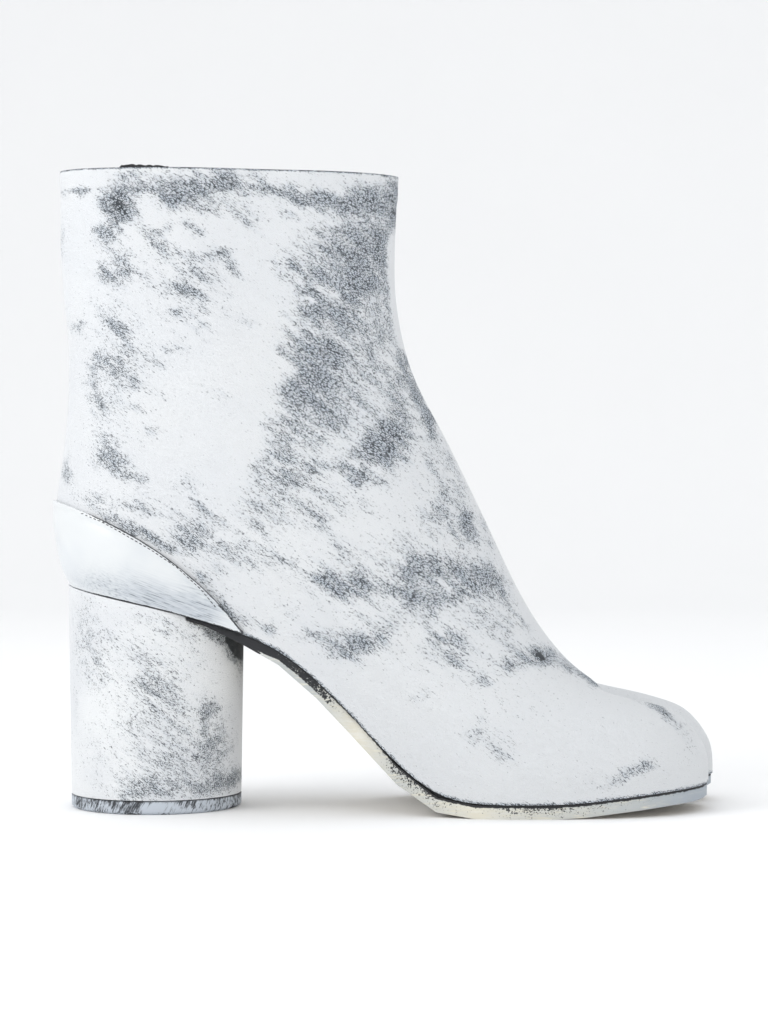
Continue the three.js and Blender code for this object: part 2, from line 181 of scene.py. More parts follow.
def giveMaterials(piece, materials, slots=None):
    for material in materials:
        piece.data.materials.append(material)
    if slots is not None:
        piece.data.polygons.foreach_set("material_index", np.asarray(slots, dtype=np.int32))


def seat(piece, smoothUnder, slotName, *nodes):
    # Smooths a finished piece, hangs it on the root body, and hides the CAD nodes that it stands for.
    pickOnly(piece)
    bpy.ops.object.shade_smooth_by_angle(angle=math.radians(smoothUnder))
    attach(piece, "root")
    if nodes:
        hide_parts(*nodes)


def ease(low, high, values):
    # 0 at low and 1 at high, or the other way round if low is the larger.
    share = np.clip((values - low) / (high - low), 0, 1)
    return share * share * (3 - 2 * share)


def ridge(values, width):
    return np.exp(-(values / width) ** 2)


def turnedBy(x, z, turn=0):
    # Places along and across a line that rises towards the toes by some degrees.
    c, s = math.cos(math.radians(turn)), math.sin(math.radians(turn))
    return x * c + z * s, z * c - x * s


# Materials: one wrapped socket, and one method that makes any node

class Signal:
    def __init__(self, finish, socket):
        self.finish = finish
        self.socket = socket

    def out(self, name):
        return Signal(self.finish, self.socket.node.outputs[name])

    def maths(self, operation, other):
        return self.finish.node("ShaderNodeMath", {"operation": operation}, {0: self, 1: other})

    def __add__(self, other):
        return self.maths("ADD", other)

    def __sub__(self, other):
        return self.maths("SUBTRACT", other)

    def __mul__(self, other):
        return self.maths("MULTIPLY", other)

    def __truediv__(self, other):
        return self.maths("DIVIDE", other)

    def between(self, low, high):
        # The same as ease, in a material.
        return self.finish.node(
            "ShaderNodeMapRange", {"interpolation_type": "SMOOTHSTEP"},
            {"Value": self, "From Min": low, "From Max": high})

    def larger(self, other):
        return self.maths("MAXIMUM", other)

    def smaller(self, other):
        return self.maths("MINIMUM", other)


class Finish:
    def __init__(self, name):
        self.material = bpy.data.materials.new(name)
        self.material.use_nodes = True
        self.tree = self.material.node_tree
        self.tree.nodes.clear()
        self.place = self.node("ShaderNodeTexCoord").out("Object")

    def node(self, kind, settings=None, values=None):
        made = self.tree.nodes.new(kind)
        for key, value in (settings or {}).items():
            setattr(made, key, value)
        for key, value in (values or {}).items():
            socket = made.inputs[key]
            if isinstance(value, Signal):
                self.tree.links.new(value.socket, socket)
            elif hasattr(value, "__len__") and socket.type == "RGBA":
                socket.default_value = (*value, 1)
            else:
                socket.default_value = value
        return Signal(self, made.outputs[0] if made.outputs else None)

    def attribute(self, name):
        return self.node("ShaderNodeAttribute", {"attribute_name": name}).out("Fac")

    def turned(self, size, turn=(0, 0, 0)):
        # Coordinates in units of size (mm along each axis), turned by degrees.
        return self.node(
            "ShaderNodeMapping", {"vector_type": "TEXTURE"},
            {"Vector": self.place, "Scale": [s * mm for s in size],
             "Rotation": [math.radians(t) for t in turn]})

    def noise(self, where, detail=2, roughness=0.5, scale=1):
        return self.node("ShaderNodeTexNoise", None, {
            "Vector": where, "Scale": scale, "Detail": detail, "Roughness": roughness})

    def cells(self, where, feature="F1"):
        return self.node("ShaderNodeTexVoronoi", {"feature": feature}, {"Vector": where, "Scale": 1.0})

    def drifted(self, where, amount, step):
        # The same coordinates, pushed about a little so that rows wander.
        push = self.noise(where, 1, scale=step).out("Color")
        centred = self.node("ShaderNodeVectorMath", {"operation": "SUBTRACT"},
                            {0: push, 1: (0.5, 0.5, 0.5)})
        scaled = self.node("ShaderNodeVectorMath", {"operation": "SCALE"},
                           {0: centred, "Scale": amount})
        return self.node("ShaderNodeVectorMath", {"operation": "ADD"}, {0: where, 1: scaled})

    def mix(self, share, first, second):
        # Of this node, inputs 6 and 7 and output 2 are the ones for colours.
        made = self.node("ShaderNodeMix", {"data_type": "RGBA"}, {0: share, 6: first, 7: second})
        return made.out(2)

    def bump(self, height, depth, strength):
        # Height runs from 0 to 1 and stands for depth in mm.
        return self.node("ShaderNodeBump", None,
                         {"Height": height, "Distance": depth * mm, "Strength": strength})

    def surface(self, values):
        shader = self.node("ShaderNodeBsdfPrincipled", None, values)
        self.node("ShaderNodeOutputMaterial", None, {"Surface": shader})
        return self.material


# Paint on the upper, the flap and the heel

paintLook = {
    "white": (0.722, 0.736, 0.750),
    "lavender": (0.685, 0.703, 0.728),
    "warm": (0.72, 0.725, 0.725),
    "grey": (0.575, 0.588, 0.60),   # painted shade: the paint is drawn greyer from the heel to the toes, where less light falls
    # x in mm where the painted shade starts, and where it is greyest
    "shadeStarts": -30, "darker": 215,
    "haze": (0.40, 0.455, 0.52),
    "dark": (0.030, 0.036, 0.042),
    "slant": 36,                    # degrees that the cracks fall towards the toes
    "grain": (1.6, 0.72, 0.48),     # one grain of the leather: along, into and across
    "chance": (1.7, 0.7, 0.46),     # how far one crack runs before it closes
    "patch": (9, 3.4, 2.5),         # how far cracks keep together
    "fine": (1.1, 0.5, 0.42),
    "cloud": 34,
    "wander": 0.8,                  # how far the rows of grains wander, in grains
    "opens": 0.235,                 # wear at which the first cracks open
    "crackWidth": 0.066,            # in grains
    "widens": (0.86, 1.2, 0.36),    # wear at which cracks widen, at which they're widest, by how much
    "foggy": (0.45, 0.4),           # haze where cracks are few, and how much more where they're many
    "grainLines": 0.16,             # how clearly the unbroken creases show
    "relief": 0.2,                  # height of the bumps in mm
}


def crackedPaint(name, look, grainScale=1, hazeShare=1):
    # The paint is gone along the creases between the grains, first here and there, then all round.
    f = Finish(name)
    wear = f.attribute("wear")
    slant = (0, look["slant"], 0)
    grains = f.turned([size * grainScale for size in look["grain"]], slant)
    grains = f.drifted(grains, look["wander"], 0.5)
    toCrease = f.cells(grains, "DISTANCE_TO_EDGE")
    chance = f.noise(f.turned(look["chance"], slant), 2, 0.6)
    patch = f.noise(f.turned(look["patch"], slant), 4, 0.62)
    amount = wear + (patch - 0.5) * (wear * 2.0 + 0.32)
    opened = (amount + (chance - 0.5) * 1.6 - look["opens"]).between(0, 0.22)
    start, full, widening = look["widens"]
    width = amount * 0.05 + look["crackWidth"] + wear.between(start, full) * widening
    crack = (toCrease - width).between(0.05, -0.025) * opened
    cloud = f.noise(f.turned([look["cloud"]] * 3), 2, 0.5)
    fine = f.noise(f.turned(look["fine"], slant), 2, 0.6)
    paint = f.mix(cloud.between(0.36, 0.62), look["white"], look["lavender"])
    paint = f.mix(cloud.out("Color") * fine, paint, look["warm"])
    # Painted shade: the paint turns grey from the heel towards the toes, where less light falls.
    towardsToes = f.node("ShaderNodeSeparateXYZ", None, {"Vector": f.place}).out("X") / mm
    darker = (towardsToes - look["shadeStarts"]) / (look["darker"] - look["shadeStarts"])
    paint = f.mix(darker.larger(0).smaller(1), paint, look["grey"])
    least, more = look["foggy"]
    fog = amount.between(0.05, 0.8) * (patch.between(0.2, 0.8) * more + least) * hazeShare
    paint = f.mix(fog, paint, look["haze"])
    paint = f.mix(toCrease.between(0.16, 0) * fine * look["grainLines"], paint, look["haze"])
    colour = f.mix(crack * (amount * 0.2 + 0.76), paint, look["dark"])
    grain = toCrease.between(0, 0.3) * 0.5 + fine * 0.5 - crack * 0.3
    return f.surface({
        "Base Color": colour, "Roughness": crack * 0.12 + fine * 0.1 + 0.5,
        "Normal": f.bump(grain, look["relief"], 0.75), "IOR": 1.45,
        "Coat Weight": 0.05, "Coat Roughness": 0.35})


counterLook = {
    "white": (0.70, 0.72, 0.728),
    "shade": (0.655, 0.68, 0.70),
    "brush": (0.33, 0.375, 0.43),
    "dark": (0.02, 0.022, 0.028),
    "slant": 20,                    # degrees that the brushed streaks fall towards the toes
    "streak": (7, 0.7, 0.42),
}


def counterPaint(look):
    f = Finish("counterPaint")
    wear = f.attribute("wear")
    edge = f.attribute("edge")
    slant = (0, look["slant"], 0)
    streak = f.noise(f.turned(look["streak"], slant), 4, 0.65)
    cloud = f.noise(f.turned((22, 22, 22)), 2)
    paint = f.mix(cloud.between(0.38, 0.64), look["white"], look["shade"])
    brushed = wear * (streak.between(0.3, 0.7) * 0.65 + 0.3)
    paint = f.mix(brushed, paint, look["brush"])
    lines = (wear - 0.3) * streak.between(0.55, 0.66) * 0.9
    speck = f.noise(f.turned((0.9, 0.6, 0.5), slant), 3, 0.7)
    rim = (edge + (speck - 0.5) * 0.9).between(0.5, 0.62)
    colour = f.mix(rim.larger(lines), paint, look["dark"])
    grain = f.noise(f.turned((0.8, 0.8, 0.8)), 3, 0.6)
    return f.surface({
        "Base Color": colour, "Roughness": wear * 0.2 + grain * 0.08 + 0.27,
        "Normal": f.bump(grain * 0.5 + streak * wear, 0.035, 0.5), "IOR": 1.48,
        "Coat Weight": 0.18, "Coat Roughness": 0.22})


def plainLeather(name, colour, dark, grainSize, roughness):
    f = Finish(name)
    pores = f.cells(f.turned([grainSize] * 3)).out("Distance")
    cloud = f.noise(f.turned((14, 14, 14)), 3)
    tone = f.mix(cloud.between(0.35, 0.7), colour, dark)
    return f.surface({
        "Base Color": f.mix(pores.between(0.55, 0.9) * 0.35, tone, dark),
        "Roughness": pores * 0.1 + roughness, "Normal": f.bump(pores, 0.06, 0.5)})


def nappedLeather(name, dark, light):
    f = Finish(name)
    nap = f.noise(f.turned((0.5, 0.5, 1.2)), 4, 0.7)
    return f.surface({
        "Base Color": f.mix(nap.between(0.3, 0.7), dark, light), "Roughness": 0.9,
        "Normal": f.bump(nap, 0.25, 0.8), "Sheen Weight": 0.25, "Sheen Roughness": 0.5})


soleLook = {
    "cream": (0.66, 0.63, 0.53),
    "pale": (0.73, 0.72, 0.68),
    "grey": (0.40, 0.43, 0.44),
    "bluish": (0.30, 0.34, 0.39),
    "dark": (0.016, 0.017, 0.020),
    "underside": (0.46, 0.42, 0.34),
    # the darker tone is where the underside is rubbed
    "darker": (0.30, 0.27, 0.22),
    "scratch": (0.12, 0.11, 0.10),
}


def soleEdge(look):
    f = Finish("soleEdge")
    # Down is 0 at the upper and 1 at the floor, and the rest comes from soleBands.
    down, black, speckle, line, grey = map(f.attribute, ("down", "black", "speckle", "line", "grey"))
    speck = f.noise(f.turned((0.6, 0.6, 0.5)), 4, 0.65)
    streak = f.noise(f.turned((7, 7, 0.9)), 3, 0.6)
    ragged = f.noise(f.turned((1.6, 1.6, 1)), 4, 0.65)
    body = f.mix(streak.between(0.4, 0.65) * 0.5 + black * down.between(0.6, 0.8) * 0.5,
                 look["cream"], look["pale"])
    body = f.mix((grey * 2).smaller(1) * streak.between(0.25, 0.5) * 0.8, body, look["grey"])
    body = f.mix(((grey - 0.5) * 2).larger(0), body, look["bluish"])
    cover = black * down.between(0.74, 0.60) * 1.2 + (black - 1).larger(0) * 1.6
    cover = cover + speckle * down.between(2.2, -0.2)
    flecks = (cover + (speck - 0.5) * 1.6 + (ragged - 0.5) * 0.9).between(0.50, 0.60)
    # The dark line along the top is painted shade where the upper meets the sole.
    rim = (line * 0.15 - down + (ragged - 0.5) * 0.25).between(0, 0.05)
    colour = f.mix(flecks.larger(rim), body, look["dark"])
    return f.surface({"Base Color": colour, "Roughness": streak * 0.15 + 0.62,
                      "Normal": f.bump(speck + streak * 0.6, 0.12, 0.6)})


def soleUnderside(look):
    f = Finish("soleUnderside")
    rub = f.noise(f.turned((9, 4, 9)), 5, 0.62)
    scratch = f.noise(f.turned((14, 0.7, 1)), 3, 0.6)
    tone = f.mix(rub.between(0.35, 0.7), look["underside"], look["darker"])
    tone = f.mix(scratch.between(0.6, 0.72) * 0.5, tone, look["scratch"])
    return f.surface({"Base Color": tone, "Roughness": rub * 0.2 + 0.6,
                      "Normal": f.bump(scratch + rub, 0.1, 0.5)})


rubberLook = {
    "rubber": (0.035, 0.039, 0.046),
    "paint": (0.47, 0.51, 0.56),
    "rim": (0.015, 0.016, 0.018),
}


def topPieceRubber(look):
    f = Finish("topPieceRubber")
    along = f.noise(f.turned((0.7, 0.7, 6), (0, 28, 0)), 4, 0.62)
    patch = f.noise(f.turned((9, 9, 5)), 2)
    down = f.attribute("down")
    bare = f.attribute("bare")
    streaks = (along + (patch - 0.5) * 0.6 - bare * 0.22 + 0.1).between(0.40, 0.62)
    tone = f.mix(streaks, look["rubber"], look["paint"])
    rim = (down + (along - 0.5) * 0.5).between(0.14, 0.04) * (bare * 0.5 + 0.45)
    return f.surface({"Base Color": f.mix(rim, tone, look["rim"]), "Roughness": along * 0.2 + 0.55,
                      "Normal": f.bump(along, 0.12, 0.6)})


def thread(name, colour):
    f = Finish(name)
    twist = f.noise(f.turned((0.25, 0.25, 0.25)), 2)
    tone = f.mix(twist.between(0.35, 0.65), colour, [c * 0.6 for c in colour])
    return f.surface({"Base Color": tone, "Roughness": 0.7, "Normal": f.bump(twist, 0.05, 0.6)})


upperPaint = crackedPaint("upperPaint", paintLook)
# On the heel the painted shade would start past its front, so none of it shows there.
heelPaintLook = {**paintLook, "white": (0.775, 0.79, 0.80), "shadeStarts": 60, "darker": 300}
heelPaint = crackedPaint("heelPaint", heelPaintLook, grainScale=0.88, hazeShare=0.85)
counterFinish = counterPaint(counterLook)
lining = plainLeather("lining", (0.62, 0.52, 0.40), (0.50, 0.41, 0.31), 0.7, 0.62)
insoleFinish = plainLeather("insoleFinish", (0.50, 0.37, 0.24), (0.38, 0.27, 0.17), 0.8, 0.55)
darkNap = nappedLeather("darkNap", (0.018, 0.019, 0.022), (0.055, 0.057, 0.062))
edgeFinish = soleEdge(soleLook)
undersideFinish = soleUnderside(soleLook)
rubberFinish = topPieceRubber(rubberLook)
darkThread = thread("darkThread", (0.03, 0.03, 0.035))
paleThread = thread("paleThread", (0.62, 0.63, 0.65))
print("materials made")


# Where the paint is worn, as soft ellipses seen from one side of the boot.
# Each row: x, z, length, height, turn in degrees (up towards the toes) unless 0, strength in %.

outerWear = {"hem": [
    (-11.5, 215.5, 9, 11, 80), (-1, 221, 13, 2.2, 60), (4, 221, 6, 3.5, 70), (9, 219, 7, 5, -20, 70),
    (14.5, 220.5, 5, 6, 95), (24, 222, 13, 4, 4, 95), (36, 220.8, 6, 3, 55), (43, 220, 6, 2.4, 35),
    (48, 220.5, 4, 2.6, 55), (54, 217, 9, 2.4, -16, 55), (60, 218, 6, 3.4, 55), (72, 216, 8, 4, 80),
    (80, 216, 6, 4, 80), (85.5, 218, 4.5, 13, 85), (78, 222, 8, 3, 35), (6, 216, 10, 5, -10, 40),
    (20, 215, 20, 6, -8, 45), (34, 211, 11, 3, -20, 25), (48, 212, 8, 3, -15, 30), (26, 226, 20, 3, 35),
    (-27, 221, 9, 3, -10, 35), (66, 213, 14, 5, -10, 25), (54, 217.5, 14, 4, -12, 45),
    (-8, 225.5, 16, 3, 20), (0, 225, 18, 3.4, 35), (34, 222.5, 60, 7, 16),
], "backOfShaft": [
    (-16, 207, 8, 4, -40, 55), (-16, 203, 7, 6, 55), (-11, 197, 6, 5, 35), (-17, 191, 6, 3.5, -45, 60),
    (-10, 192, 8, 5, 20, 35), (-28, 172.5, 5, 4, 30, 45), (-13, 172, 8, 4, -35, 50),
    (-8, 164, 6, 5, -50, 30), (-17, 159, 9, 6, 45), (-12, 155, 6, 7, 40), (-6, 151.5, 6, 4, 45),
    (-16, 145, 8, 5, 35), (1, 134, 6, 4, 30), (-15, 129, 7, 5, 40), (-17, 124, 5, 5, 45),
    (-11, 124, 7, 6, 45), (-9, 120, 6, 4, -20, 45), (-3.5, 118, 6, 4, -20, 45), (-31, 120, 4, 8, 45),
    (-4, 108, 8, 4, -20, 35), (-14, 181, 16, 26, 14), (-12, 163, 22, 26, 14), (-15, 132, 18, 18, 18),
    (-5, 190, 14, 8, 16), (-34, 203, 3, 9, 30), (-33, 150, 3, 10, 30), (-20, 148, 5, 14, 10, 30),
    (-6, 142, 12, 3, -8, 30),
], "middleOfShaft": [
    (5, 206, 4, 5, 42), (-2, 206.5, 8, 2.4, -18, 28), (14, 207.5, 9, 4, -38, 45), (17.5, 204, 3, 4, 30),
    (5, 199, 11, 5, -28, 50), (0, 202.5, 6, 3, -40, 35), (24.5, 197, 6, 4, -35, 35),
    (29, 193, 9, 3, -38, 50), (17, 191, 11, 5, -30, 50), (20, 197, 14, 3, 8, 30), (9, 184, 10, 4, 30),
    (12, 183.5, 8, 3.4, -25, 65), (17, 180.5, 8, 5, -35, 20), (9, 176, 6, 3.5, 45),
    (15, 176, 8, 5, 20, 30), (34, 209, 12, 3, -38, 25), (34, 173, 8, 2.4, -25, 30),
    (18, 172, 5, 3, -30, 25), (8, 164, 12, 3, -8, 30), (14, 168, 14, 10, 12), (12, 186, 24, 14, 14),
    (1, 158, 10, 5, -12, 25), (27, 180, 3, 10, 16), (3, 148, 14, 5, -20, 14),
], "frontOfShaft": [
    (80, 205, 6, 6, 75), (79, 198, 6, 8, 75), (70, 205, 16, 6, 50), (66, 199, 10, 8, 50),
    (74, 199, 8, 6, 50), (74, 192, 10, 7, -20, 78), (76, 188, 8, 5, 55), (65, 189, 16, 6, -15, 50),
    (70, 183, 7, 6, 55), (69, 178, 8, 6, 55), (60, 176, 13, 7, -10, 50), (52, 177, 8, 4, 30),
    (72, 171, 8, 4, 45), (74, 165, 14, 4, 20, 40), (63, 163, 8, 7, 70), (65, 159, 7, 5, 50),
    (55, 163, 7, 5, 50), (57, 155, 10, 5, -40, 90), (52, 151, 6, 5, 70), (61, 151, 8, 5, 70),
    (54, 148, 9, 7, 55), (50, 146, 6, 5, 50), (60, 141, 8, 7, 50), (69, 147, 8, 5, 35),
    (65, 136, 10, 6, 30), (58, 131, 9, 6, 30), (47.5, 162, 7, 3, -30, 35), (50, 194, 10, 3, -28, 35),
    (48, 170, 6, 4, 30), (55, 185, 8, 4, 30), (85, 174, 6, 12, 30), (64, 170, 26, 40, 16),
    (60, 146, 24, 30, 20), (76, 200, 20, 26, 30), (87, 150, 8, 12, 35), (84, 187, 6, 18, 35),
    (56, 192, 13, 18, 26), (80, 155, 13, 16, 24), (44, 192, 10, 3, -36, 30), (46, 133, 9, 9, -20, 30),
    (60, 168, 9, 8, -30, 32), (66, 154, 10, 8, -30, 30), (53, 140, 9, 8, -30, 22),
    (74, 140, 11, 9, -30, 26), (74, 175, 10, 7, -30, 22), (53, 168, 8, 6, -30, 24),
    (101, 126, 8, 12, 25, 20), (78, 218, 14, 7, -6, 50), (60, 216, 44, 12, 12), (76, 180, 14, 46, 16),
], "instep": [
    (89, 160, 3, 9, 8, 70), (93.5, 149, 3.4, 10, 18, 90), (98.5, 139, 3.6, 10, 24, 95),
    (88, 141.5, 9, 5, -32, 65), (82, 134.5, 6, 5, 85), (86, 134, 9, 4.5, -12, 95),
    (77.5, 128, 6, 6, 95), (84, 128, 5, 6, 75), (82, 124.5, 8, 4, -18, 60), (72.5, 126, 6, 4, 40),
    (72.5, 118, 6, 5, 75), (69, 121, 6, 3, -35, 50), (75, 121, 5, 3, 20, 40), (82, 117.5, 9, 4, 30),
    (90, 126, 5, 6, 35), (84, 131, 14, 16, 30), (45, 137, 7, 4, 45), (51, 136.5, 6, 5, 40),
    (45, 131, 6, 5, 35), (42, 127, 5, 6, 30), (47, 125, 8, 5, 30), (52, 119, 10, 6, 40),
    (59, 121.5, 6, 4, 35), (39, 120, 6, 5, 30), (58, 117, 22, 16, 22), (94, 100, 22, 10, 30, 20),
    (70, 108, 16, 8, 20), (44, 118, 14, 12, 18), (102, 106, 11, 20, 28, 26), (40, 108, 14, 11, 26),
    (56, 106, 13, 3, -45, 40), (60, 101.5, 5, 4, 40), (106.5, 123.5, 3, 7, 25, 45),
    (104, 112.5, 3, 7, 20, 30), (109, 115.5, 6, 3, -20, 32), (111.5, 110, 3, 9, 25, 35),
    (112, 102, 4, 6, 10, 70), (115, 96.5, 3, 9, 30, 45), (109, 106.5, 3, 8, 35, 35),
    (119.5, 98, 2.6, 12, 24, 38), (107, 99, 2.2, 20, 35, 28), (124.5, 77, 3, 10, 32, 40),
    (131, 67, 3, 10, 32, 35), (100, 122, 3, 16, 22, 25),
], "ankle": [
    (-14, 104.2, 12, 2.6, -24, 55), (-4, 99.8, 12, 2.8, -28, 60), (5, 94.6, 10, 2.6, -32, 50),
    (12.5, 89.3, 8, 2.2, -40, 40), (20, 82, 8, 2.2, -50, 45), (25, 76, 6, 2.4, -55, 50),
    (17, 101, 9, 9, 16), (25, 92, 9, 7, -30, 30), (-17, 111, 12, 5, -20, 10), (13, 116, 8, 5, 30),
    (20, 107, 13, 3, -48, 35), (14, 98.5, 9, 7, -20, 40), (13, 94.5, 7, 4, 45),
    (3, 106, 18, 7, -25, 20), (22, 96, 10, 6, -20, 28), (24, 84, 10, 8, -30, 22),
    (-18, 110, 14, 4, -12, 30), (30, 90, 16, 5, -20, 20), (47, 89, 17, 3, -24, 28), (36, 98, 8, 10, 14),
], "waist": [
    (35, 105, 40, 10, 18), (90, 60, 50, 12, 14), (116, 56, 20, 12, 10), (24, 147, 12, 8, -20, 16),
    (52, 198, 9, 7, -30, 24), (75, 88, 44, 17, 17), (113, 78, 20, 24, 17), (40, 91, 14, 12, 17),
    (27, 70.5, 6, 4, -50, 80), (74, 70, 14, 8, 12), (63, 82.5, 7, 6, 75), (69, 79, 12, 5, -10, 42),
    (74, 81.5, 6, 6, -40, 50), (67, 93, 4, 5, 30), (83.5, 79, 7, 4, -18, 50), (92, 89, 4, 6, 60),
    (95, 88.5, 5, 5, 60), (91, 83, 6, 10, 42), (99, 86, 8, 5, 50), (105, 87, 9, 5, 45),
    (113, 84, 9, 6, -15, 60), (119, 81.5, 9, 6, -10, 60), (122, 83, 5, 5, 55), (92, 79, 8, 5, 42),
    (95, 75, 11, 5, 12, 46), (99, 70.5, 5, 5, 45), (107, 77, 10, 4, 18, 40), (42, 65, 5, 4, 45),
    (55, 62.5, 8, 4, -20, 35), (62, 63, 6, 4, 35), (67, 58, 7, 4, 42), (73, 58, 8, 6, 35, 65),
    (80, 62.5, 13, 3, 33, 38), (71, 61, 14, 7, 10, 32), (96, 80, 22, 16, 20), (68, 80, 20, 12, 24),
    (33, 70, 10, 4, -30, 40), (48, 72, 16, 5, -25, 20), (84, 68, 12, 6, 16),
], "vamp": [
    (100.5, 61.5, 6, 3.5, -25, 42), (104, 61, 6, 3, 32), (106, 55.5, 5, 8, 35), (110, 59, 4, 6, 22),
    (107, 65, 4, 4, 15), (116, 47.5, 6, 4, 40), (95, 42.5, 7, 3, 30, 25), (116, 32.5, 4, 8, -20, 26),
    (121, 26, 6, 6, 20), (124, 22, 7, 4, 22), (113, 28, 7, 4, -30, 20), (125, 53, 5, 4, 45),
    (131, 54, 10, 5, 30), (138.5, 55.5, 6.5, 4.4, -6, 100), (135, 53, 8, 3, 35),
    (147, 51, 7, 3, -32, 45), (156.5, 46, 8, 3, -28, 45), (118, 68, 9, 3, 10, 25),
    (125, 66, 5, 7, -20, 25), (134, 44, 26, 18, 8), (126, 33, 10, 14, 10), (128, 60, 14, 5, -30, 20),
    (102, 50, 20, 12, 10), (116, 76, 14, 9, 18),
], "toes": [
    (179.5, 36, 6.5, 2.4, -38, 85), (184, 32.6, 6, 2, -40, 45), (175.5, 38.6, 5, 2, -30, 35),
    # These three rows follow the groove between the toes: worn paint, and painted shade of the groove.
    (153, 47.3, 9, 1.4, -27, 50), (161, 43.8, 10, 1.3, -22, 40), (169, 40.6, 9, 1.3, -20, 30),
    (168.5, 16, 9, 4, 25, 45), (160, 13, 7, 4, 25), (175, 17.5, 9, 2.4, -20, 30),
    (170, 17.5, 10, 3, 22, 30), (150, 14, 12, 5, 10), (190, 22, 4, 10, 10, 16),
    (188, 30, 6, 4, -40, 28),
]}

# Small places where hardly any paint is left.
outerBare = {"cores": [
    (-11.5, 215.5, 10, 12, 68), (80.5, 200.5, 3, 13, 68), (85.5, 214, 3, 9, 70),
    (138.5, 55.4, 8, 4.4, -8, 78), (26, 70, 5, 3, -52, 80), (181, 35, 5, 2, -38, 70),
]}

innerWear = {"broad": [
    (70, 196, 24, 46, 24), (-22, 176, 14, 60, 18), (56, 158, 30, 24, 30, 22), (30, 150, 40, 12, 25, 16),
    (84, 124, 26, 16, 30, 26), (40, 112, 46, 12, 12, 20), (98, 84, 34, 12, -10, 26),
    (66, 76, 30, 9, 25, 20), (128, 60, 30, 10, -25, 22), (44, 216, 60, 5, 2, 26),
    (12, 190, 14, 40, -20, 12), (150, 34, 36, 14, 12), (104, 112, 7, 34, 28, 22),
    (76, 148, 30, 8, -20, 30), (20, 96, 30, 7, 28, 26),
], "shaft": [
    (60, 215, 14, 6, -8, 70), (40, 220, 20, 3, 60), (78, 214, 6, 12, 80), (-20, 214, 9, 8, 50),
    (66, 200, 12, 7, 30, 50), (74, 188, 9, 12, 60), (60, 186, 10, 4, 35, 40), (44, 176, 8, 6, 20, 35),
    (66, 170, 14, 10, 25, 50), (58, 158, 9, 6, 30, 70), (70, 150, 8, 8, 60), (48, 148, 12, 5, 20, 40),
    (30, 160, 10, 4, 30, 35), (24, 140, 12, 6, 20, 30), (-20, 150, 7, 16, 40), (-18, 126, 9, 10, 40),
    (20, 198, 7, 8, 25), (34, 206, 14, 4, 15, 30), (-26, 186, 6, 14, 30), (62, 178, 26, 44, 15),
], "foot": [
    (88, 132, 9, 6, 20, 85), (80, 124, 8, 7, 60), (96, 118, 5, 9, 20, 50), (56, 118, 12, 5, 20, 35),
    (36, 110, 12, 8, 30), (18, 100, 10, 5, 40), (104, 104, 4, 14, 25, 40), (90, 88, 12, 7, 15, 60),
    (108, 82, 12, 6, 10, 70), (70, 84, 10, 6, 50), (78, 70, 12, 5, -25, 40), (100, 64, 8, 6, 35),
    (122, 70, 8, 5, -20, 45), (134, 58, 9, 5, -15, 80), (118, 44, 8, 5, 30), (140, 34, 9, 5, 20, 30),
    (150, 48, 8, 4, -25, 40), (164, 22, 9, 4, 40), (186, 30, 6, 5, -30, 50), (176, 14, 10, 4, 10, 30),
    (60, 66, 12, 5, -25, 35), (96, 80, 30, 20, 16), (40, 80, 14, 6, -20, 25), (128, 20, 12, 5, 20),
]}


def wandered(x, z):
    # Places pushed about by up to a millimetre, so that no spot keeps a round edge.
    return (x + 0.6 * np.sin(0.47 * z + 0.9 * np.sin(0.33 * x)) + 0.4 * np.sin(1.13 * z + 0.6 * x),
            z + 0.5 * np.sin(0.41 * x + 1.1 * np.sin(0.37 * z)) + 0.35 * np.sin(1.07 * x - 0.5 * z))


def wornAmount(points, groups, most=0.96):
    # How worn each point is. Ellipses that overlap add to each other.
    whole = np.ones(len(points))
    px, pz = wandered(points[:, 0], points[:, 2])
    for rows in groups.values():
        for x, z, length, height, *turn, strength in rows:
            along, across = turnedBy(px - x, pz - z, *turn)
            away = 2.4 * ((along / length) ** 2 + (across / height) ** 2)
            whole *= 1 - strength / 100 * np.exp(-away)
    return most * (1 - whole)


# Upper

